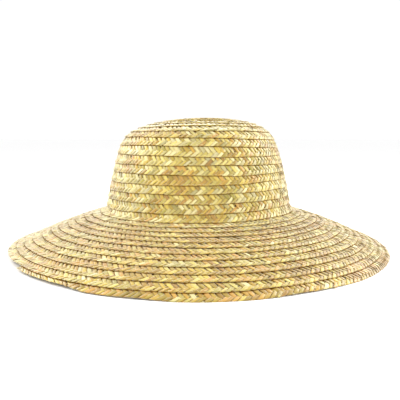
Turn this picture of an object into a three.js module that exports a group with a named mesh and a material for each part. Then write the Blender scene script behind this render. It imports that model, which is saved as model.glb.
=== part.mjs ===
// A wide-brim sun hat, sewn from one long flat plait of wheat straw.
// The plait starts at the button in the middle of the crown and runs round in one spiral, clockwise from
// above: over the tip, down the side and out across the brim. Each turn laps over the next, as shingles do.
// Units are millimetres, +Z is up, -Y is the front, and the hat stands on its rim at z = 0.

import * as THREE from "three";
import { mergeVertices } from "three/addons/utils/BufferGeometryUtils.js";

// the plait
const PLAIT_THICKNESS = 1.2;
const PLAIT_LAP = 1.8; // how far each turn reaches in under the turn above it
const CROWN_PITCH = 8.2; // width of plait that shows on each turn of the crown
const BUTTON_LAYERS = 3; // layers of plait on each other in the middle of the button
const GAP = 0.3; // clearance between separate pieces

// the turns of the spiral, counted from the button
const TIP_TURNS = 9;
const SIDE_TURNS = 9;
const BRIM_TURNS = 13;
const CROWN_TURNS = TIP_TURNS + SIDE_TURNS;
const ALL_TURNS = CROWN_TURNS + BRIM_TURNS;
const COLUMNS = 36; // flat facets in one turn
const END_ANGLE = THREE.MathUtils.degToRad(217.5); // where the plait ends, left of the front

// the meridian: the outer surface cut through the axis, from the button to the rim
const RIM_LIP = 0.5; // height of the rim's outer corner above the table
const MERIDIAN = [
  { place: "button", radius: 0, height: 126.3 },
  { place: "tip", radius: 30.8, height: 124.4 },
  { place: "tip", radius: 51.0, height: 120.7 },
  { place: "tip", radius: 60.8, height: 117.4 },
  { place: "shoulder", radius: 68.2, height: 113.5 },
  { place: "shoulder", radius: 73.3, height: 108.9 },
  { place: "shoulder", radius: 76.8, height: 103.5 },
  { place: "side", radius: 81.4, height: 91.2 },
  { place: "side", radius: 87.9, height: 67.5 },
  { place: "side", radius: 92.5, height: 44.0 },
  { place: "fold", radius: 93.4, height: 40.2 },
  { place: "fold", radius: 96.4, height: 36.6 },
  { place: "brim", radius: 103.9, height: 34.0 },
  { place: "brim", radius: 127.6, height: 27.1 },
  { place: "brim", radius: 151.2, height: 18.9 },
  { place: "brim", radius: 174.3, height: 9.1 },
  { place: "rim", radius: 190.2, height: RIM_LIP },
];

// small irregular forms of the hand-sewn crown and brim, with the reaches between which each comes or goes
const BUTTON_TO_RIGHT = 5.5; // the turns of the tip lie this far off the crown's axis
const TO_RIGHT_GOES = [40, 147];
const BUTTON_TO_BACK = 3.0;
const TO_BACK_GOES = [50, 110];
const TIP_TILT = 0.026; // rise of the tip towards the right
const TIP_TILT_GOES = [58, 92];
const FRONT_RISE = 0.9; // the brim's front lies higher than the meridian by this, short of the rim
const FRONT_RISE_GOES = [244, 252];
const BACK_FALL = 3.2; // and its back lies lower than the meridian by this
const BACK_FALL_GOES = [232, 248];
const BRIM_SET_COMES = [115, 240];

// the set of the rim
const RIM_TO_LEFT = 2.0; // the rim's turns, which widen as the spiral does, are set this far to the left
const RIM_TO_BACK = 2.1; // and this far back, so that the rim stands evenly round the crown
const FREE_SHARE = 0.24; // the share of the rim, from the plait's end round the left, that stands up a little
const LAND_WIDTH = 1.4; // flat underside of the rim, where it rests
const LAND_INSET = 0.35; // from the rim's outer corner in to that flat
const FLAT_TO = 1e-4; // heights of the flat are rounded to this, so that it is one plane

// the last turn is narrower in places, and its end goes in under the turn before it
const TAIL = [
  { turn: 0.74, tuck: 0, drop: 0 },
  { turn: 0.77, tuck: 1.5, drop: 0 },
  { turn: 0.79, tuck: 2.0, drop: 0 },
  { turn: 0.82, tuck: 0, drop: 0 },
  { turn: 0.865, tuck: 0, drop: 0 },
  { turn: 0.885, tuck: 2.2, drop: 0 },
  { turn: 0.92, tuck: 2.2, drop: 0.4 },
  { turn: 0.94, tuck: 5.4, drop: 1.0 },
  { turn: 1.0, tuck: 5.6, drop: 1.0 },
];

const STRAW_COLOUR = 0xe6ca79;

const meridian = new THREE.CatmullRomCurve3(
  MERIDIAN.map((row) => new THREE.Vector3(row.radius, row.height, 0)),
  false,
  "centripetal",
);
meridian.arcLengthDivisions = 2000;
const FULL_REACH = meridian.getLength();
const CROWN_REACH = CROWN_TURNS * CROWN_PITCH;
const BRIM_PITCH = (FULL_REACH - CROWN_REACH) / BRIM_TURNS;

// Reach is the distance along the meridian from the button. This is the reach of the plait's lower edge
// after so many turns.
function reachAfter(turns) {
  const onCrown = THREE.MathUtils.clamp(turns, 0, CROWN_TURNS) * CROWN_PITCH;
  return onCrown + Math.max(turns - CROWN_TURNS, 0) * BRIM_PITCH;
}

function heightAt(reach) {
  return meridian.getPointAt(Math.min(reach / FULL_REACH, 1)).y;
}

// How much a point shares in the set of the rim: 0 on the crown, 1 at the rim.
function rimShare(reach) {
  const t = THREE.MathUtils.clamp((reach - CROWN_REACH) / (FULL_REACH - CROWN_REACH), 0, 1);
  return t * t;
}

// The lift that brings the rim level on the table, apart from its free share, where it stands up by the
// step between one turn and the next.
function rimLift(round) {
  const edge = reachAfter(ALL_TURNS - 1 + round);
  const step = heightAt(reachAfter(ALL_TURNS - 1)) - RIM_LIP;
  const standsUp = step * THREE.MathUtils.smoothstep(1 - round / FREE_SHARE, 0, 1);
  return (RIM_LIP + standsUp - heightAt(edge)) / rimShare(edge);
}

// A point of the hat. Turned is its reach on the spiral, depth is measured in from the outer surface, and
// columns run clockwise from the plait's end. At the button every outside point is one point, and so is
// every inside point.
function place(turned, depth, column) {
  const { smoothstep } = THREE.MathUtils;
  const from = Math.max(turned, 0);
  const bearing = END_ANGLE - (2 * Math.PI * (column % COLUMNS)) / COLUMNS;
  const toRight = from * Math.cos(bearing) + BUTTON_TO_RIGHT * (1 - smoothstep(from, ...TO_RIGHT_GOES));
  const toBack = from * Math.sin(bearing) + BUTTON_TO_BACK * (1 - smoothstep(from, ...TO_BACK_GOES));
  const reach = Math.hypot(toRight, toBack);
  const angle = Math.atan2(toBack, toRight);
  const inward = turned > 0 ? depth : (depth > PLAIT_THICKNESS ? BUTTON_LAYERS : 0) * PLAIT_THICKNESS;

  const share = rimShare(reach);
  const u = Math.min(reach / FULL_REACH, 1);
  const on = meridian.getPointAt(u);
  const along = meridian.getTangentAt(u);
  const radius = Math.max(on.x + along.y * inward, 0);
  const x = radius * Math.cos(angle) - RIM_TO_LEFT * share;
  const y = radius * Math.sin(angle) + RIM_TO_BACK * share;
  const tilt = TIP_TILT * x * (1 - smoothstep(reach, ...TIP_TILT_GOES));
  const atBack = smoothstep(Math.sin(angle), -1, 0.6);
  const fall = BACK_FALL * atBack * (1 - smoothstep(reach, ...BACK_FALL_GOES));
  const rise = FRONT_RISE * (1 - atBack) * (1 - smoothstep(reach, ...FRONT_RISE_GOES));
  const brimSet = (rise - fall) * smoothstep(reach, ...BRIM_SET_COMES);
  const lift = tilt + brimSet + rimLift(column / COLUMNS) * share;
  return new THREE.Vector3(x, y, on.y - along.x * inward + lift);
}

function tailAt(round) {
  const i = Math.max(TAIL.findIndex((row) => row.turn >= round), 1);
  const [a, b] = [TAIL[i - 1], TAIL[i]];
  const t = THREE.MathUtils.clamp((round - a.turn) / (b.turn - a.turn), 0, 1);
  return { tuck: a.tuck + t * (b.tuck - a.tuck), drop: a.drop + t * (b.drop - a.drop) };
}

// A closed section through the turns from first to last. Each point also keeps its reach and depth, so
// that the faces at the two ends of the stretch can be drawn flat.
function sectionAt(first, last, column) {
  const round = column / COLUMNS;
  const isRim = last === ALL_TURNS - 1;
  const isBent = first === CROWN_TURNS; // the fold at the foot of the crown takes a point halfway
  const tail = isRim ? tailAt(round) : { tuck: 0, drop: 0 };
  const at = (reach, depth) => ({ reach, depth, point: place(reach, depth, column) });
  const outside = [];
  const inside = [];
  let lean = 0;
  for (let turn = first; turn <= last; turn++) {
    const top = reachAfter(turn - 1 + round);
    const low = reachAfter(turn + round);
    const isEdge = turn === last;
    const edge = low - (isEdge ? tail.tuck : 0);
    const drop = isEdge ? tail.drop : 0;
    lean = (PLAIT_THICKNESS * PLAIT_LAP) / Math.max(low - top, PLAIT_LAP);
    if (turn === first && first > 0) outside.push(at(top - PLAIT_LAP + GAP, PLAIT_THICKNESS + lean + GAP));
    outside.push(at(top, PLAIT_THICKNESS));
    if (isBent) outside.push(at((top + edge) / 2, (PLAIT_THICKNESS + drop) / 2));
    outside.push(at(edge, drop));
    inside.push(at(top - PLAIT_LAP, 2 * PLAIT_THICKNESS + lean));
    if (isBent) inside.push(at((top + edge) / 2 - PLAIT_LAP, 1.5 * PLAIT_THICKNESS + lean + drop / 2));
    inside.push(at(edge - PLAIT_LAP, PLAIT_THICKNESS + lean + drop));
  }
  const corner = outside[outside.length - 1];
  const under = [];
  if (isRim) {
    const out = Math.hypot(corner.point.x, corner.point.y);
    for (const inset of [LAND_INSET, LAND_INSET + LAND_WIDTH]) {
      const point = corner.point.clone().multiplyScalar((out - inset) / out);
      point.z = Math.round((corner.point.z - RIM_LIP) / FLAT_TO) * FLAT_TO;
      under.push({ reach: corner.reach - inset, depth: corner.depth + RIM_LIP + inset / 2, point });
    }
  } else {
    under.push(at(corner.reach - GAP, PLAIT_THICKNESS - GAP));
  }
  return { outside, under, inside: inside.reverse() };
}

// The shell sewn from the turns first to last, as one closed body.
function sewnShell(first, last) {
  const sections = [];
  for (let column = 0; column <= COLUMNS; column++) sections.push(sectionAt(first, last, column));
  const start = sections[0];
  const end = sections[COLUMNS];
  const perTurn = start.inside.length / (last - first + 1);

  // a face across the plait at each end of the stretch, where one section has a turn that the other lacks
  const startFace = [];
  if (first > 0) {
    startFace.push(...start.outside.slice(0, 2 + perTurn), end.outside[0]);
    startFace.push(end.inside[end.inside.length - 1], ...start.inside.slice(-perTurn));
  }
  const endFace = [
    end.outside[end.outside.length - 1 - perTurn],
    ...end.outside.slice(-perTurn),
    ...end.under,
    ...end.inside.slice(0, perTurn + 1),
    ...start.under.toReversed(),
  ];
  if (first > 0) {
    // the start stands clear of the end of the stretch before it
    const starting = [...start.outside.slice(0, 1 + perTurn), ...start.inside.slice(-perTurn)];
    for (const { point } of starting) {
      point.applyAxisAngle(new THREE.Vector3(0, 0, 1), -GAP / Math.hypot(point.x, point.y));
    }
  }

  const corners = [];
  const loops = sections.map((s) => [...s.outside, ...s.under, ...s.inside].map((p) => p.point));
  for (let column = 0; column < COLUMNS; column++) {
    const here = loops[column];
    const next = loops[column + 1];
    for (let i = 0; i < here.length; i++) {
      const j = (i + 1) % here.length;
      corners.push(here[i], next[j], here[j], here[i], next[i], next[j]);
    }
  }
  const cap = (face, turnedOver) => {
    const flat = face.map((p) => new THREE.Vector2(p.reach, -p.depth));
    for (const [a, b, c] of THREE.ShapeUtils.triangulateShape(flat, [])) {
      const order = turnedOver ? [a, b, c] : [a, c, b];
      corners.push(...order.map((i) => face[i].point));
    }
  };
  cap(startFace, false);
  cap(endFace, true);

  const soup = new THREE.BufferGeometry().setFromPoints(corners);
  const merged = mergeVertices(soup, 1e-3);
  const index = Array.from(merged.index.array);
  const kept = [];
  for (let i = 0; i < index.length; i += 3) {
    const [a, b, c] = index.slice(i, i + 3);
    if (a !== b && b !== c && c !== a) kept.push(a, b, c);
  }
  merged.setIndex(kept);
  merged.computeVertexNormals();
  return merged;
}

function straw() {
  return new THREE.MeshStandardMaterial({
    name: "wheat straw plait",
    color: STRAW_COLOUR,
    roughness: 0.55,
    metalness: 0,
  });
}

function piece(name, geometry) {
  const mesh = new THREE.Mesh(geometry, straw());
  mesh.name = name;
  return mesh;
}

const hat = new THREE.Group();
hat.name = "wide_brim_hat";
hat.add(piece("crown_tip", sewnShell(0, TIP_TURNS - 1)));
hat.add(piece("crown_side", sewnShell(TIP_TURNS, CROWN_TURNS - 1)));
hat.add(piece("brim", sewnShell(CROWN_TURNS, ALL_TURNS - 1)));

export default hat;
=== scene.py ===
import bmesh
import bpy
import numpy as np
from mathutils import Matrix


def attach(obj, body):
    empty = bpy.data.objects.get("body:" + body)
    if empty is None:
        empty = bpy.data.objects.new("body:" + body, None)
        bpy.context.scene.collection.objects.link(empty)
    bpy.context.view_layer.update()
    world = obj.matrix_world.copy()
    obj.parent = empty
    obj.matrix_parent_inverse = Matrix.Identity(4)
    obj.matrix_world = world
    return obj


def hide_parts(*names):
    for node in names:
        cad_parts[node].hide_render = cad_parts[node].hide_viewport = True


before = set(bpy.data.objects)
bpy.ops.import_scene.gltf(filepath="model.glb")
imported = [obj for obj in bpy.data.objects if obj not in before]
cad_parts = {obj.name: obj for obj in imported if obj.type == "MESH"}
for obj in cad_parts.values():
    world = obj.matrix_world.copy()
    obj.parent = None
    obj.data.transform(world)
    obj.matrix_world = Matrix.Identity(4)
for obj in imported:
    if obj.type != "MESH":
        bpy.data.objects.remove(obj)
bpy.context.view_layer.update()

# One straw on its way across the plait
# The plait is made of five wheat straws, damped and pressed flat. A straw goes over two others from one edge
# to the middle, then under two to the far edge, where it folds over and comes back. One such way across is
# modelled here: X runs along the plait, Y across it from its lower edge, and Z out of its face.
MM = 0.001
STRANDS = 5
PLAIT_WIDTH = 10.0 * MM
STRAW_THICKNESS = 0.5 * MM
STRAW_STEP = 4.4 * MM  # along the plait, from one fold on an edge to the next
STRAW_ADVANCE = STRANDS * STRAW_STEP / 2  # how far back along the plait a straw gets on one way across
# a cut along the plait, turned square to the straw, slides this far for each millimetre beside its middle
SQUARE_SLIDE = STRAW_ADVANCE * PLAIT_WIDTH / (STRAW_ADVANCE**2 + PLAIT_WIDTH**2)
FLAT_SHARE = 0.62  # of a straw's width, between its rounded sides
CROSSING = [  # shares of the plait's width, of the advance, of the straw's width and of its thickness
    {"part": "fold", "across": 0.0, "back": 0.0, "width": 0.88, "thick": 0.6, "rise": 0.0, "square": 0.0},
    {"part": "bend", "across": 0.06, "back": 0.06, "width": 0.98, "thick": 1.0, "rise": 0.5, "square": 0.2},
    {"part": "over", "across": 0.26, "back": 0.21, "width": 1.0, "thick": 1.2, "rise": 0.65, "square": 0.8},
    {"part": "over", "across": 0.42, "back": 0.33, "width": 0.96, "thick": 1.0, "rise": 0.45, "square": 1.0},
    {"part": "under", "across": 0.53, "back": 0.44, "width": 1.0, "thick": 1.0, "rise": -0.5, "square": 1.0},
    {"part": "bend", "across": 0.94, "back": 0.94, "width": 1.04, "thick": 1.0, "rise": -0.5, "square": 0.2},
    {"part": "fold", "across": 1.0, "back": 1.0, "width": 0.88, "thick": 0.6, "rise": 0.0, "square": 0.0},
]
MIDDLE_FALL = 0.32  # the plait is pulled a little askew, so its middle lies below half its width


def select_corners(piece, wanted):
    """Selects the corners of a piece in edit mode that wanted(corner's place) holds for."""
    mesh = bmesh.from_edit_mesh(piece.data)
    for face in mesh.faces:
        face.select = False
    for corner in mesh.verts:
        corner.select = bool(wanted(corner.co))
    mesh.select_flush(True)
    bmesh.update_edit_mesh(piece.data)


bpy.ops.object.select_all(action="DESELECT")
bpy.ops.mesh.primitive_cube_add(size=1, location=(0, PLAIT_WIDTH / 2, 0))
crossing = bpy.context.object
crossing.name = "straw_crossing"
crossing.scale = (STRAW_STEP, PLAIT_WIDTH, STRAW_THICKNESS)
bpy.ops.object.transform_apply(location=True, rotation=False, scale=True)
bpy.ops.object.mode_set(mode="EDIT")
bpy.ops.mesh.select_mode(type="VERT")
for row in CROSSING[1:-1]:
    bpy.ops.mesh.select_all(action="SELECT")
    bpy.ops.mesh.bisect(plane_co=(0, row["across"] * PLAIT_WIDTH, 0), plane_no=(0, 1, 0))
bpy.ops.mesh.select_all(action="SELECT")
bpy.ops.mesh.bisect(plane_co=(0, 0, 0), plane_no=(0, 0, 1))
for side in (-1, 1):
    select_corners(crossing, lambda place: place.z * side > 0.1 * MM)
    bpy.ops.transform.resize(value=(FLAT_SHARE, 1, 1), center_override=(0, 0, 0))
bpy.ops.mesh.select_all(action="SELECT")
bpy.ops.uv.smart_project(angle_limit=1.4, island_margin=0.02)
for row in CROSSING:
    line = row["across"] * PLAIT_WIDTH
    select_corners(crossing, lambda place: abs(place.y - line) < 0.1 * MM)
    bpy.ops.transform.resize(value=(row["width"], 1, row["thick"]), center_override=(0, line, 0))
    bpy.ops.transform.translate(value=(-row["back"] * STRAW_ADVANCE, 0, row["rise"] * STRAW_THICKNESS))
bpy.ops.mesh.select_all(action="SELECT")
bpy.ops.mesh.normals_make_consistent(inside=False)
bpy.ops.object.mode_set(mode="OBJECT")
crossing.data.uv_layers[0].name = "OFBake"


def corners_faces_and_bake(piece):
    """The corners, faces and bake map of a small mesh, which is then taken away."""
    corners = np.array([corner.co for corner in piece.data.vertices])
    faces = np.array([face.vertices for face in piece.data.polygons])
    bake_map = np.array([loop.uv for loop in piece.data.uv_layers["OFBake"].data]).reshape(-1, 4, 2)
    bpy.data.objects.remove(piece)
    return corners, faces, bake_map


straw_corners, straw_faces, straw_bake = corners_faces_and_bake(crossing)


# Wheat straw
# A ripe wheat stem, dried in the sun and pressed flat. Its skin holds silica, which gives a soft gloss along
# the stem, with fine lengthwise grain. Each stem ripened to its own tone, from cream through gold to tan.
def linear(colour):
    """The linear red, green, blue and alpha of an sRGB colour written as six hex digits."""
    parts = np.array([int(colour[i : i + 2], 16) / 255 for i in (0, 2, 4)])
    curved = np.where(parts <= 0.04045, parts / 12.92, ((parts + 0.055) / 1.055) ** 2.4)
    return (*curved, 1.0)


def add_node(tree, kind, inputs=(), stops=(), **settings):
    """Adds a node with its settings, its inputs as values or links, and a colour ramp's stops."""
    node = tree.nodes.new(kind)
    for name, value in settings.items():
        setattr(node, name, value)
    for name, value in dict(inputs).items():
        if isinstance(value, bpy.types.NodeSocket):
            tree.links.new(value, node.inputs[name])
        else:
            node.inputs[name].default_value = value
    for place, colour in stops:
        is_first = place == stops[0][0]
        is_last = place == stops[-1][0]
        ramp = node.color_ramp.elements
        stop = ramp[0] if is_first else ramp[-1] if is_last else ramp.new(place)
        stop.position = place
        stop.color = linear(colour)
    return node


wheat_straw = bpy.data.materials.new("wheat_straw")
wheat_straw.use_nodes = True
tree = wheat_straw.node_tree
shader = tree.nodes["Principled BSDF"]
straw = add_node(tree, "ShaderNodeAttribute", attribute_name="straw_tone")
tone = add_node(
    tree,
    "ShaderNodeValToRGB",
    {"Fac": straw.outputs["Fac"]},
    stops=[
        (0.0, "b4a64e"),
        (0.15, "ece0a6"),
        (0.3, "dccb72"),
        (0.5, "cab04e"),
        (0.7, "c09a42"),
        (0.85, "c89a50"),
        (1.0, "b0963e"),
    ],
)
cell = add_node(tree, "ShaderNodeAttribute", attribute_name="crossing_tone")
shade = add_node(
    tree,
    "ShaderNodeMapRange",
    {"Value": cell.outputs["Fac"], "From Min": 0, "From Max": 1, "To Min": 0.59, "To Max": 1.08},
)
varied = add_node(
    tree, "ShaderNodeHueSaturation", {"Color": tone.outputs["Color"], "Value": shade.outputs["Result"]}
)

grain_map = add_node(tree, "ShaderNodeUVMap", uv_map="grain")
# The fibres are 0.1 mm apart, too fine to show, so the coarsest grain is drawn 0.9 mm wide and 14 mm long.
stretched = add_node(
    tree,
    "ShaderNodeMapping",
    {"Vector": grain_map.outputs["UV"], "Scale": (1 / (14 * MM), 1 / (0.9 * MM), 1)},
)
grain = add_node(
    tree, "ShaderNodeTexNoise", {"Vector": stretched.outputs["Vector"], "Scale": 1.0, "Detail": 3.0}
)
grained = add_node(
    tree,
    "ShaderNodeMapRange",
    {"Value": grain.outputs["Fac"], "From Min": 0.3, "From Max": 0.7, "To Min": 0.84, "To Max": 1.14},
)
final_tone = add_node(
    tree, "ShaderNodeHueSaturation", {"Color": varied.outputs["Color"], "Value": grained.outputs["Result"]}
)
# Painted shade: the straw is darkened to olive brown beside each straw, in the laps next to the edge of the
# turn that covers it, and at the folded edges, where shade falls.
place = add_node(tree, "ShaderNodeAttribute", attribute_name="place_on_straw")
places = add_node(tree, "ShaderNodeSeparateXYZ", {"Vector": place.outputs["Vector"]})
# painted shade in the laps, next to the edge of the turn that covers the straw
shade_in_laps = add_node(
    tree,
    "ShaderNodeMapRange",
    {"Value": places.outputs["Z"], "From Min": 0.2 * MM, "From Max": 1.0 * MM, "To Min": 1.0, "To Max": 0.0},
)
# painted shade at the folded edges of the plait
shade_at_fold_edge = add_node(
    tree,
    "ShaderNodeMapRange",
    {"Value": places.outputs["X"], "From Min": 0.0, "From Max": 0.04, "To Min": 0.15, "To Max": 0.0},
)
# painted shade beside each straw, in the grooves between straws
beside = add_node(
    tree,
    "ShaderNodeMapRange",
    {"Value": places.outputs["Y"], "From Min": 0.8, "From Max": 1.0, "To Min": 0.0, "To Max": 0.9},
)
shade_in_folds = add_node(
    tree, "ShaderNodeMath", {0: shade_in_laps.outputs["Result"], 1: shade_at_fold_edge.outputs["Result"]}, operation="MAXIMUM"
)
shade_in_grooves = add_node(
    tree, "ShaderNodeMath", {0: shade_in_folds.outputs["Value"], 1: beside.outputs["Result"]}, operation="MAXIMUM"
)
# the painted shade multiplies the straw's colour by olive brown
painted_shade = add_node(
    tree, "ShaderNodeMix", {"Factor": shade_in_grooves.outputs["Value"]}, data_type="RGBA", blend_type="MULTIPLY"
)
tree.links.new(final_tone.outputs["Color"], painted_shade.inputs[6])
painted_shade.inputs[7].default_value = linear("a48430")
tree.links.new(painted_shade.outputs[2], shader.inputs["Base Color"])
gloss = add_node(
    tree,
    "ShaderNodeMapRange",
    {"Value": grain.outputs["Fac"], "From Min": 0.3, "From Max": 0.7, "To Min": 0.30, "To Max": 0.46},
)
tree.links.new(gloss.outputs["Result"], shader.inputs["Roughness"])
bump = add_node(
    tree, "ShaderNodeBump", {"Height": grain.outputs["Fac"], "Strength": 0.25, "Distance": 0.1 * MM}
)
tree.links.new(bump.outputs["Normal"], shader.inputs["Normal"])
shader.inputs["IOR"].default_value = 1.5
shader.inputs["Sheen Weight"].default_value = 1.0
shader.inputs["Sheen Roughness"].default_value = 0.4
# the sheen is that of fine fuzz and dust, pale on the straw; where shade is painted in the grooves its tint
# is golden brown, a painted warm shade
sheen_tint = add_node(
    tree, "ShaderNodeMix", {"Factor": shade_in_grooves.outputs["Value"]}, data_type="RGBA", blend_type="MIX"
)
sheen_tint.inputs[6].default_value = linear("fffaea")
sheen_tint.inputs[7].default_value = linear("d8a050")
tree.links.new(sheen_tint.outputs[2], shader.inputs["Sheen Tint"])
# specular and coat are taken away where shade is painted in the grooves, which deepens the painted shade
for name, weight in (("Specular IOR Level", 0.5), ("Coat Weight", 0.8)):
    dulled_in_shade = add_node(
        tree,
        "ShaderNodeMapRange",
        {"Value": shade_in_grooves.outputs["Value"], "From Min": 0, "From Max": 1, "To Min": weight, "To Max": 0},
    )
    tree.links.new(dulled_in_shade.outputs["Result"], shader.inputs[name])
shader.inputs["Coat Roughness"].default_value = 0.35
shader.inputs["Specular Tint"].default_value = linear("e8c060")

# Crown tip
# The hat starts at the button in the middle of the crown. The plait is coiled flat there and sewn round and
# round in one spiral, clockwise from above, each turn lapped 1.8 mm under the one before it.
CROWN_PITCH = 8.2 * MM  # width of plait that shows on each turn of the crown
PLAIT_DEPTH = 1.0 * MM  # thickness of the plait, which is two straws
TIP_TURNS = 9
CROWN_TURNS = 18
ALL_TURNS = 31
END_ANGLE = np.radians(217.5)  # where the plait ends, left of the front
RIM_LIP = 0.5 * MM
RIM_TO_LEFT = 2.0 * MM
RIM_TO_BACK = 2.1 * MM
FREE_SHARE = 0.24  # of the rim, from the plait's end round the left, which stands up a little
BUTTON_TO_RIGHT = 5.5 * MM  # the turns of the tip lie this far off the crown's axis
TO_RIGHT_GOES = (40 * MM, 147 * MM)  # the reaches between which they come back to it
BUTTON_TO_BACK = 3.0 * MM
TO_BACK_GOES = (50 * MM, 110 * MM)
TIP_TILT = 0.026  # rise of the tip towards the right
TIP_TILT_GOES = (58 * MM, 92 * MM)
FRONT_RISE = 0.9 * MM  # the brim's front lies higher than the body line by this, short of the rim
FRONT_RISE_GOES = (244 * MM, 252 * MM)
BACK_FALL = 3.2 * MM  # and its back lies lower than the body line by this
BACK_FALL_GOES = (232 * MM, 248 * MM)
BRIM_SET_COMES = (115 * MM, 240 * MM)  # the reaches between which both come
FRONT_TO_BACK = (-1, 0.6)  # the sines of the angle between which the front passes into the back
EDGE_LIFT = 0.1 * MM  # how far a turn's lower edge stands off the turn below it
EDGE_LIFT_WIDTH = 1.6 * MM
BODY_LINE = [  # millimetres, on the outer surface, from the button to the rim
    {"place": "button", "radius": 0, "height": 126.3},
    {"place": "tip", "radius": 30.8, "height": 124.4},
    {"place": "tip", "radius": 51.0, "height": 120.7},
    {"place": "tip", "radius": 60.8, "height": 117.4},
    {"place": "shoulder", "radius": 68.2, "height": 113.5},
    {"place": "shoulder", "radius": 73.3, "height": 108.9},
    {"place": "shoulder", "radius": 76.8, "height": 103.5},
    {"place": "side", "radius": 81.4, "height": 91.2},
    {"place": "side", "radius": 87.9, "height": 67.5},
    {"place": "side", "radius": 92.5, "height": 44.0},
    {"place": "fold", "radius": 93.4, "height": 40.2},
    {"place": "fold", "radius": 96.4, "height": 36.6},
    {"place": "brim", "radius": 103.9, "height": 34.0},
    {"place": "brim", "radius": 127.6, "height": 27.1},
    {"place": "brim", "radius": 151.2, "height": 18.9},
    {"place": "brim", "radius": 174.3, "height": 9.1},
    {"place": "rim", "radius": 190.2, "height": 0.5},
]
TAIL = [  # the last turn is narrower in places, and its end goes in under the turn before it
    {"turns": 30.74, "tuck": 0, "drop": 0},
    {"turns": 30.77, "tuck": 1.5 * MM, "drop": 0},
    {"turns": 30.79, "tuck": 2.0 * MM, "drop": 0},
    {"turns": 30.82, "tuck": 0, "drop": 0},
    {"turns": 30.865, "tuck": 0, "drop": 0},
    {"turns": 30.885, "tuck": 2.2 * MM, "drop": 0},
    {"turns": 30.92, "tuck": 2.2 * MM, "drop": 0.4 * MM},
    {"turns": 30.94, "tuck": 5.4 * MM, "drop": 1.0 * MM},
    {"turns": 31.0, "tuck": 5.6 * MM, "drop": 1.0 * MM},
]
TURNED_OVER_FROM = 30.9375  # turns; from here to its end the plait lies with its back outwards


def draw_body_line():
    """The reach from the button, radius and height at close steps along a curve through the body line."""
    rows = np.array([[row["radius"], row["height"]] for row in BODY_LINE]) * MM
    rows = np.vstack([2 * rows[0] - rows[1], rows, 2 * rows[-1] - rows[-2]])
    t = np.linspace(0, 1, 200, endpoint=False)[:, None]
    drawn = []
    for before, start, end, after in zip(rows, rows[1:], rows[2:], rows[3:]):
        steps = np.linalg.norm([start - before, end - start, after - end], axis=1) ** 0.5
        in_gap, gap, out_gap = steps
        leave = (start - before) / in_gap - (end - before) / (in_gap + gap) + (end - start) / gap
        arrive = (end - start) / gap - (after - start) / (gap + out_gap) + (after - end) / out_gap
        leave, arrive = leave * gap, arrive * gap
        drawn.append(
            start
            + leave * t
            + (3 * (end - start) - 2 * leave - arrive) * t**2
            + (2 * (start - end) + leave + arrive) * t**3
        )
    drawn = np.vstack([*drawn, rows[-2:-1]])
    reach = np.concatenate([[0], np.cumsum(np.linalg.norm(np.diff(drawn, axis=0), axis=1))])
    return reach, drawn[:, 0], drawn[:, 1]


def run_on(reach, radius, height):
    """The body line with its mirror image before the button and a straight stretch past the rim."""
    slope = np.array([radius[-1] - radius[-2], height[-1] - height[-2]])
    slope = slope / np.linalg.norm(slope) * PLAIT_WIDTH
    reach = np.concatenate([-reach[:0:-1], reach, [reach[-1] + PLAIT_WIDTH]])
    radius = np.concatenate([-radius[:0:-1], radius, [radius[-1] + slope[0]]])
    height = np.concatenate([height[:0:-1], height, [height[-1] + slope[1]]])
    return reach, radius, height


drawn_line = draw_body_line()
FULL_REACH = drawn_line[0][-1]
LINE_REACH, LINE_RADIUS, LINE_HEIGHT = run_on(*drawn_line)
LINE_OUT = np.gradient(LINE_RADIUS, LINE_REACH)
LINE_DOWN = np.gradient(LINE_HEIGHT, LINE_REACH)
CROWN_REACH = CROWN_TURNS * CROWN_PITCH
BRIM_PITCH = (FULL_REACH - CROWN_REACH) / (ALL_TURNS - CROWN_TURNS)


def fade(value, start, end):
    """A smooth run from 0 at the start to 1 at the end."""
    t = np.clip((value - start) / (end - start), 0, 1)
    return t * t * (3 - 2 * t)


def reach_after(turns):
    """The reach of the plait's lower edge after so many turns."""
    on_crown = np.clip(turns, 0, CROWN_TURNS) * CROWN_PITCH
    return on_crown + np.maximum(turns - CROWN_TURNS, 0) * BRIM_PITCH


def rim_share(reach):
    """How much a point shares in the set of the rim: 0 on the crown, 1 at the rim."""
    return np.clip((reach - CROWN_REACH) / (FULL_REACH - CROWN_REACH), 0, 1) ** 2


def rim_lift(turns):
    """The lift that brings the rim level on the table, apart from its free share."""
    round_it = turns % 1
    edge = reach_after(ALL_TURNS - 1 + round_it)
    step = np.interp(reach_after(ALL_TURNS - 1), LINE_REACH, LINE_HEIGHT) - RIM_LIP
    stands_up = step * fade(1 - round_it / FREE_SHARE, 0, 1)
    return (RIM_LIP + stands_up - np.interp(edge, LINE_REACH, LINE_HEIGHT)) / rim_share(edge)


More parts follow.
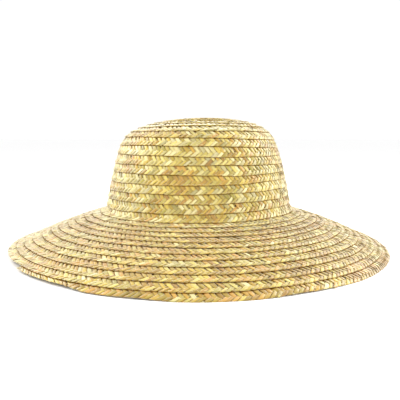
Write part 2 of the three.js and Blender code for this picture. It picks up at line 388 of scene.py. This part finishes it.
def on_hat(reach, depth, turns):
    """Points of the hat, from their reach along the body line, depth under its outer surface and turns."""
    angle = END_ANGLE - 2 * np.pi * turns
    to_right = reach * np.cos(angle) + BUTTON_TO_RIGHT * (1 - fade(reach, *TO_RIGHT_GOES))
    to_back = reach * np.sin(angle) + BUTTON_TO_BACK * (1 - fade(reach, *TO_BACK_GOES))
    reach = np.hypot(to_right, to_back)
    angle = np.arctan2(to_back, to_right)
    share = rim_share(reach)
    out = np.interp(reach, LINE_REACH, LINE_OUT)
    down = np.interp(reach, LINE_REACH, LINE_DOWN)
    radius = np.interp(reach, LINE_REACH, LINE_RADIUS) + down * depth
    height = np.interp(reach, LINE_REACH, LINE_HEIGHT) - out * depth
    x = radius * np.cos(angle) - RIM_TO_LEFT * share
    y = radius * np.sin(angle) + RIM_TO_BACK * share
    tilt = TIP_TILT * x * (1 - fade(reach, *TIP_TILT_GOES))
    at_back = fade(np.sin(angle), *FRONT_TO_BACK)
    fall = BACK_FALL * at_back * (1 - fade(reach, *BACK_FALL_GOES))
    rise = FRONT_RISE * (1 - at_back) * (1 - fade(reach, *FRONT_RISE_GOES))
    brim_set = (rise - fall) * fade(reach, *BRIM_SET_COMES)
    return np.stack([x, y, height + tilt + brim_set + rim_lift(turns) * share], axis=-1)


TURNS = np.linspace(0, ALL_TURNS, ALL_TURNS * 180 + 1)
MIDDLE = np.interp(reach_after(TURNS) - PLAIT_WIDTH / 2, LINE_REACH, LINE_RADIUS)
MIDDLE = np.maximum(MIDDLE, 2 * MM)
LENGTHS = np.concatenate([[0], np.cumsum(np.pi * (MIDDLE[1:] + MIDDLE[:-1]) * np.diff(TURNS))])
WANDER = [  # the sewer's hand: waves of the seam, as wavelength and height
    {"length": 41 * MM, "height": 0.10 * MM, "phase": 0.4},
    {"length": 67 * MM, "height": 0.13 * MM, "phase": 2.1},
    {"length": 113 * MM, "height": 0.20 * MM, "phase": 4.0},
    {"length": 197 * MM, "height": 0.28 * MM, "phase": 1.3},
    {"length": 331 * MM, "height": 0.30 * MM, "phase": 5.2},
]


def lower_edge(turns):
    """The reach of the plait's lower edge as it was sewn, after so many turns."""
    along = np.interp(turns, TURNS, LENGTHS)
    wander = sum(row["height"] * np.sin(2 * np.pi * along / row["length"] + row["phase"]) for row in WANDER)
    wander = wander * np.clip(turns - 1, 0, 1) * np.clip(ALL_TURNS - turns, 0, 1)
    tuck = np.interp(turns, [row["turns"] for row in TAIL], [row["tuck"] for row in TAIL])
    return reach_after(turns) + wander - tuck


def let_fall(across):
    """Where a place across the plait comes to lie, as the middle of the plait falls."""
    return across * (1 - MIDDLE_FALL * (1 - across / PLAIT_WIDTH))


def shows_beyond(along, across):
    """How far a place on the plait lies outside the edge of the turn that covers it."""
    turns = np.interp(along, LENGTHS, TURNS)
    return lower_edge(turns) - lower_edge(np.maximum(turns - 1, 0)) - let_fall(across)


def on_plait(along, across, out):
    """Points of the sewn plait, from their place along it, across it and out of its middle plane."""
    turns = np.interp(along, LENGTHS, TURNS)
    drop = np.interp(turns, [row["turns"] for row in TAIL], [row["drop"] for row in TAIL])
    low = lower_edge(turns)
    across = let_fall(across)
    lean = PLAIT_DEPTH * across / CROWN_PITCH
    lift = EDGE_LIFT * np.exp(-across / EDGE_LIFT_WIDTH)
    points = on_hat(low - across, lean + drop + PLAIT_DEPTH / 2 - out - lift, turns)
    points[..., 2] = np.maximum(points[..., 2], 0)  # the table presses the rim flat
    return points


rng = np.random.default_rng(11)
CROSSINGS = int(LENGTHS[-1] / (STRAW_STEP / 2))
PLACES = np.arange(CROSSINGS) * STRAW_STEP / 2
STRAW_LENGTH = 180 * MM  # of plait that one straw lasts for
PATCH_LENGTH = 13 * MM  # of plait over which straws that ripened alike lie together
CROWN_RIPENESS = 0.41  # the middle of the straws' tones, from 0 to 1
BRIM_RIPENESS = 0.62
GRAIN_APART = 3.7  # so that straws that lie side by side take their grain from far apart
SPREADS = {  # standard deviations, from one way across to the next
    "width": 0.12,
    "shift": 0.38 * MM,
    "slant": 0.35 * MM,
    "rise": 0.06 * MM,
    "roll": 0.09,
    "edge": 0.18 * MM,
}
own_tones = np.empty(CROSSINGS)
for strand in range(STRANDS):
    joins = np.cumsum(rng.normal(STRAW_LENGTH, STRAW_LENGTH / 3, int(LENGTHS[-1] / STRAW_LENGTH * 1.5)))
    tones = rng.random(len(joins) + 1)
    own_tones[strand::STRANDS] = tones[np.searchsorted(joins, PLACES[strand::STRANDS])]
patches = rng.random(int(LENGTHS[-1] / PATCH_LENGTH) + 2)
patch_tones = np.interp(PLACES / PATCH_LENGTH, np.arange(len(patches)), patches)
straw_tones = 0.35 * own_tones + 0.35 * patch_tones + 0.3 * rng.random(CROSSINGS)
# the straws of the brim are a little riper than those of the crown
tone_changes = np.interp([CROWN_TURNS, CROWN_TURNS + 3], TURNS, LENGTHS)
middle_tones = np.interp(PLACES, tone_changes, [CROWN_RIPENESS, BRIM_RIPENESS])
straw_tones = np.clip(middle_tones + 1.5 * (straw_tones - 0.5), 0, 1)
crossing_tones = rng.random(CROSSINGS)
widths = 1 + SPREADS["width"] * rng.standard_normal(CROSSINGS)
shifts = SPREADS["shift"] * rng.standard_normal(CROSSINGS)
slants = SPREADS["slant"] * rng.standard_normal(CROSSINGS)
rises = SPREADS["rise"] * rng.standard_normal(CROSSINGS)
rolls = SPREADS["roll"] * rng.standard_normal(CROSSINGS)
edge_shifts = SPREADS["edge"] * rng.standard_normal((CROSSINGS, 2))
is_turned_over = PLACES > np.interp(TURNED_OVER_FROM, TURNS, LENGTHS)
widths[is_turned_over] *= 0.88  # this end was worked tighter
straw_tones[is_turned_over] = 0.2 + 0.55 * rng.random(is_turned_over.sum())


def join_copies(name, places, faces, bake_map, is_mirrored, material, node):
    """Copies of one small mesh, each with its corners at its own places, joined into one piece."""
    count, corners = places.shape[:2]
    turned = np.where(is_mirrored[:, None, None], faces[None, :, ::-1], faces[None])
    turned = (turned + (np.arange(count) * corners)[:, None, None]).reshape(-1, faces.shape[1])
    mesh = bpy.data.meshes.new(name)
    mesh.from_pydata(places.reshape(-1, 3), [], turned)
    mesh.shade_smooth()
    side = int(np.ceil(np.sqrt(count)))
    cells = np.stack([np.arange(count) % side, np.arange(count) // side], axis=-1)
    atlas = np.where(is_mirrored[:, None, None, None], bake_map[None, :, ::-1], bake_map[None])
    atlas = (atlas + cells[:, None, None]) / side
    mesh.uv_layers.new(name="OFBake").data.foreach_set("uv", atlas.ravel())
    mesh.materials.append(material)
    piece = bpy.data.objects.new(name, mesh)
    bpy.context.collection.objects.link(piece)
    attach(piece, "root")
    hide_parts(node)
    return piece


def sew(name, first_turn, last_turn, node):
    """The stretch of plait between two turns as one piece, a copy of the crossing for each way across."""
    start, end = np.interp([first_turn, last_turn], TURNS, LENGTHS)
    chosen = np.flatnonzero((PLACES >= start) & (PLACES < end))
    is_falling = chosen % 2 == 1
    across_it = straw_corners[:, 1] / PLAIT_WIDTH
    back, square = (
        np.interp(across_it, [row["across"] for row in CROSSING], [row[name] for row in CROSSING])
        for name in ("back", "square")
    )
    centre = -STRAW_ADVANCE * back
    beside = (straw_corners[:, 0] - centre) * widths[chosen, None]
    slide = beside * square * SQUARE_SLIDE
    x = centre + beside - slide * STRAW_ADVANCE / PLAIT_WIDTH
    x = x + (PLACES + shifts)[chosen, None] + slants[chosen, None] * (2 * across_it - 1)
    ends = edge_shifts[chosen, :1] * (1 - across_it) + edge_shifts[chosen, 1:] * across_it
    y = straw_corners[:, 1] + slide + ends
    z = straw_corners[:, 2] + rises[chosen, None] + rolls[chosen, None] * beside
    over = is_turned_over[chosen, None]
    y = np.where(is_falling[:, None] != over, PLAIT_WIDTH - y, y)
    z = np.where(over, -z, z)
    piece = join_copies(name, on_plait(x, y, z), straw_faces, straw_bake, is_falling, wheat_straw, node)

    mesh = piece.data
    grain_u = across_it[None] * np.hypot(STRAW_ADVANCE, PLAIT_WIDTH) + PLACES[chosen, None] * GRAIN_APART
    grain_v = np.broadcast_to(straw_corners[:, 0] - centre, grain_u.shape)
    grain_points = np.stack([grain_u, grain_v + straw_tones[chosen, None]], axis=-1).reshape(-1, 2)
    of_loops = np.array([loop.vertex_index for loop in mesh.loops])
    mesh.uv_layers.new(name="grain").data.foreach_set("uv", grain_points[of_loops].ravel())
    for attribute, values in (("straw_tone", straw_tones), ("crossing_tone", crossing_tones)):
        layer = mesh.attributes.new(attribute, "FLOAT", "POINT")
        layer.data.foreach_set("value", np.repeat(values[chosen], len(straw_corners)).astype(np.float32))
    # places that say where shade is painted: share across the plait, share beside the straw's middle, and how
    # far past the edge of the turn that covers it
    beside = np.broadcast_to(np.abs(straw_corners[:, 0] - centre) / (STRAW_STEP / 2), y.shape)
    on_straw = np.stack([y / PLAIT_WIDTH, beside, shows_beyond(x, y)], axis=-1)
    layer = mesh.attributes.new("place_on_straw", "FLOAT_VECTOR", "POINT")
    layer.data.foreach_set("vector", on_straw.astype(np.float32).ravel())
    return piece


PLAIT_STARTS = 0.3  # turns; what comes before it is the knot under the button
sew("crown_tip_plait", PLAIT_STARTS, TIP_TURNS, "crown_tip")

# Crown side
# The same plait runs on down the side of the crown, nine turns of it. The sewn hat is damped and pressed on a
# block, which sets the slant of the side and the sharp fold at its foot.
SIDE_PARTED_AT = 13.5  # turns; it is made in two pieces, to keep each mesh small
sew("crown_side_plait_upper", TIP_TURNS, SIDE_PARTED_AT, "crown_side")
sew("crown_side_plait_lower", SIDE_PARTED_AT, CROWN_TURNS, "crown_side")

# Brim
# After the fold the plait runs on outwards for thirteen turns. Its end is turned over, left of the front,
# and sewn down under the turn before it. The brim was pressed and starched, and has sagged a little since.
INNER_ENDS = 23  # turns
MIDDLE_ENDS = 27.3
sew("brim_plait_inner", CROWN_TURNS, INNER_ENDS, "brim")
sew("brim_plait_middle", INNER_ENDS, MIDDLE_ENDS, "brim")
sew("brim_plait_outer", MIDDLE_ENDS, ALL_TURNS, "brim")

# Cut ends
# A straw is about 180 mm long. Where it runs out a new one is laid in beside it, and the cut end, 3 to 5 mm
# long, is left on the back of the plait. Three at the rim have worked loose and show past its edge.
END_WIDTH = 1.7 * MM
END_LENGTH = 4.0 * MM
END_OUT = -0.75 * MM  # on the back of the plait
END_TURN = 42  # degrees from the run of the plait, as the straws lie
RIM_ENDS = [
    {"turns": 30.766, "across": -0.3 * MM, "turn": -80, "out": 0.4 * MM},
    {"turns": 30.797, "across": 0.6 * MM, "turn": -130, "out": 0.4 * MM},
    {"turns": 30.806, "across": 0.0 * MM, "turn": -65, "out": 0.5 * MM},
]
bpy.ops.object.select_all(action="DESELECT")
bpy.ops.mesh.primitive_cube_add(size=1)
cut_end = bpy.context.object
cut_end.name = "cut_end"
cut_end.scale = (END_LENGTH, END_WIDTH, STRAW_THICKNESS * 0.6)
bpy.ops.object.transform_apply(location=False, rotation=False, scale=True)
bpy.ops.object.mode_set(mode="EDIT")
bpy.ops.mesh.select_mode(type="VERT")
bpy.ops.mesh.select_all(action="SELECT")
bpy.ops.uv.smart_project(angle_limit=1.2, island_margin=0.02)
select_corners(cut_end, lambda place: place.x > 0)
bpy.ops.transform.resize(value=(1, 0.8, 1), center_override=(0, 0, 0))
bpy.ops.object.mode_set(mode="OBJECT")
cut_end.data.uv_layers[0].name = "OFBake"
end_corners, end_faces, end_bake = corners_faces_and_bake(cut_end)


def lay_cut_ends(name, rows, node):
    """One piece with a cut end for each row of place along, across and out, turn, lift and length."""
    along, across, out, turn, lift, length = np.array(rows).T[:, :, None]
    beyond = end_corners[:, 0] * length
    beside = end_corners[:, 1]
    x = along + beyond * np.cos(turn) - beside * np.sin(turn)
    y = across + beyond * np.sin(turn) + beside * np.cos(turn)
    z = out + end_corners[:, 2] + lift * (beyond + END_LENGTH / 2)
    mirrored = np.zeros(len(rows), bool)
    return join_copies(name, on_plait(x, y, z), end_faces, end_bake, mirrored, wheat_straw, node)


for name, first_turn, last_turn, node in (
    ("crown_tip_cut_ends", 1, TIP_TURNS, "crown_tip"),
    ("crown_side_cut_ends", TIP_TURNS, CROWN_TURNS, "crown_side"),
    ("brim_cut_ends", CROWN_TURNS, ALL_TURNS, "brim"),
):
    start, end = np.interp([first_turn, last_turn], TURNS, LENGTHS)
    rows = []
    for along in np.arange(start, end, STRAW_LENGTH / STRANDS):
        along = along + 15 * MM * rng.standard_normal()
        across = PLAIT_WIDTH * (0.25 + 0.45 * rng.random())
        turn = 180 * rng.integers(2) + rng.choice([-END_TURN, END_TURN]) + 8 * rng.standard_normal()
        lift = -0.05 - 0.15 * rng.random()
        length = 0.8 + 0.4 * rng.random()
        rows.append((along, across, END_OUT, np.radians(turn), lift, length))
    if node == "brim":
        for row in RIM_ENDS:
            along = np.interp(row["turns"], TURNS, LENGTHS)
            rows.append((along, row["across"], row["out"], np.radians(row["turn"]), 0.0, 1.0))
    piece = lay_cut_ends(name, rows, node)
    for attribute in ("straw_tone", "crossing_tone"):
        values = np.repeat(rng.random(len(rows)), len(end_corners)).astype(np.float32)
        layer = piece.data.attributes.new(attribute, "FLOAT", "POINT")
        layer.data.foreach_set("value", values)
    # the cut ends get no painted shade
    in_the_open = np.tile([0.5, 0.0, PLAIT_WIDTH], len(rows) * len(end_corners)).astype(np.float32)
    layer = piece.data.attributes.new("place_on_straw", "FLOAT_VECTOR", "POINT")
    layer.data.foreach_set("vector", in_the_open)

# Sewing thread
# Natural cotton thread, 0.35 mm thick, in machine stitches of 4.5 mm. On the face they run just inside the
# lower edge of each turn, and inside the hat along the upper edge of the turn that is lapped under it.
STITCH = 4.5 * MM
STITCH_SHOWS = 3.3 * MM
THREAD = 0.35 * MM
SEAM_STARTS = 0.4  # turns
SEAMS = [
    {"side": "face", "across": 1.5 * MM, "out": 0.60 * MM, "dip": -0.35 * MM, "skips": 0},
    {"side": "inside", "across": 9.45 * MM, "out": -0.60 * MM, "dip": 0.35 * MM, "skips": 1},
]
bpy.ops.object.select_all(action="DESELECT")
bpy.ops.mesh.primitive_cube_add(size=1)
stitch = bpy.context.object
stitch.name = "stitch"
stitch.scale = (STITCH_SHOWS, THREAD, THREAD)
bpy.ops.object.transform_apply(location=False, rotation=False, scale=True)
bpy.ops.object.mode_set(mode="EDIT")
bpy.ops.mesh.select_mode(type="VERT")
bpy.ops.mesh.select_all(action="SELECT")
bpy.ops.mesh.bisect(plane_co=(0, 0, 0), plane_no=(1, 0, 0))
bpy.ops.mesh.select_all(action="SELECT")
bpy.ops.uv.smart_project(angle_limit=1.2, island_margin=0.02)
bpy.ops.object.mode_set(mode="OBJECT")
stitch.data.uv_layers[0].name = "OFBake"
stitch_corners, stitch_faces, stitch_bake = corners_faces_and_bake(stitch)

# undyed cotton, which is cream and matt, with a little fuzz
cotton_thread = bpy.data.materials.new("cotton_thread")
cotton_thread.use_nodes = True
shader = cotton_thread.node_tree.nodes["Principled BSDF"]
shader.inputs["Base Color"].default_value = linear("e0cf98")
shader.inputs["Roughness"].default_value = 0.8
shader.inputs["Sheen Weight"].default_value = 0.3

for name, first_turn, last_turn, node in (
    ("crown_tip_stitches", SEAM_STARTS, TIP_TURNS, "crown_tip"),
    ("crown_side_stitches", TIP_TURNS, CROWN_TURNS, "crown_side"),
    ("brim_stitches", CROWN_TURNS, ALL_TURNS, "brim"),
):
    parts = []
    for row in SEAMS:
        first = max(first_turn, SEAM_STARTS + row["skips"])
        last = min(last_turn, ALL_TURNS - 1 + row["skips"])
        start, end = np.interp([first, last], TURNS, LENGTHS)
        along = np.arange(start, end, STITCH)[:, None]
        along = along + 0.2 * MM * rng.standard_normal(along.shape)
        x = along + stitch_corners[:, 0]
        y = row["across"] + stitch_corners[:, 1] + 0.08 * MM * rng.standard_normal(along.shape)
        dip = row["dip"] * np.abs(stitch_corners[:, 0]) / (STITCH_SHOWS / 2)
        z = row["out"] + stitch_corners[:, 2] + dip + np.zeros_like(x)
        parts.append(on_plait(x, y, z))
    places = np.concatenate(parts)
    mirrored = np.zeros(len(places), bool)
    join_copies(name, places, stitch_faces, stitch_bake, mirrored, cotton_thread, node)

# Floor, light and camera
# A wide flat sheet of white paper in an evenly lit white room, with soft lamps at the left and the right and
# weaker ones behind and low in front. The camera stands near, a little above the brim.
bpy.ops.object.select_all(action="DESELECT")
bpy.ops.mesh.primitive_plane_add(size=60)
floor = bpy.context.object
floor.name = "paper_floor"
# uncoated paper, which is white and matt
paper = bpy.data.materials.new("white_paper")
paper.use_nodes = True
shader = paper.node_tree.nodes["Principled BSDF"]
shader.inputs["Base Color"].default_value = linear("fafafa")
shader.inputs["Roughness"].default_value = 0.9
floor.data.materials.append(paper)

world = bpy.data.worlds.new("studio")
bpy.context.scene.world = world
world.use_nodes = True
world.node_tree.nodes["Background"].inputs["Color"].default_value = (1, 1, 1, 1)
world.node_tree.nodes["Background"].inputs["Strength"].default_value = 1.03
bpy.context.scene.view_settings.view_transform = "Standard"

LIGHTS = [  # metres and watts
    {"name": "left_box", "place": (-1.2, 0.3, 0.9), "size": 0.9, "power": 15},
    {"name": "right_box", "place": (1.2, 0.3, 0.9), "size": 0.9, "power": 16},
    {"name": "back_box", "place": (0.0, 1.2, 0.9), "size": 0.8, "power": 4},
    {"name": "front_box", "place": (0.0, -1.5, 0.3), "size": 0.5, "power": 4},
]
for row in LIGHTS:
    bpy.ops.object.light_add(type="AREA", location=row["place"])
    light = bpy.context.object
    light.name = row["name"]
    light.data.size = row["size"]
    light.data.energy = row["power"]
    light.rotation_euler = light.location.to_track_quat("Z", "Y").to_euler()

CAMERA_PLACE = (0.0, -0.4841, 0.1065)
CAMERA_DIP = 7.49  # degrees below the level
CAMERA_LENS = 42.66
CAMERA_SHIFT = 0.00375
bpy.ops.object.camera_add(location=CAMERA_PLACE, rotation=(np.radians(90 - CAMERA_DIP), 0, 0))
camera = bpy.context.object
camera.data.lens = CAMERA_LENS
camera.data.sensor_width = 36
camera.data.shift_x = CAMERA_SHIFT
bpy.context.scene.camera = camera
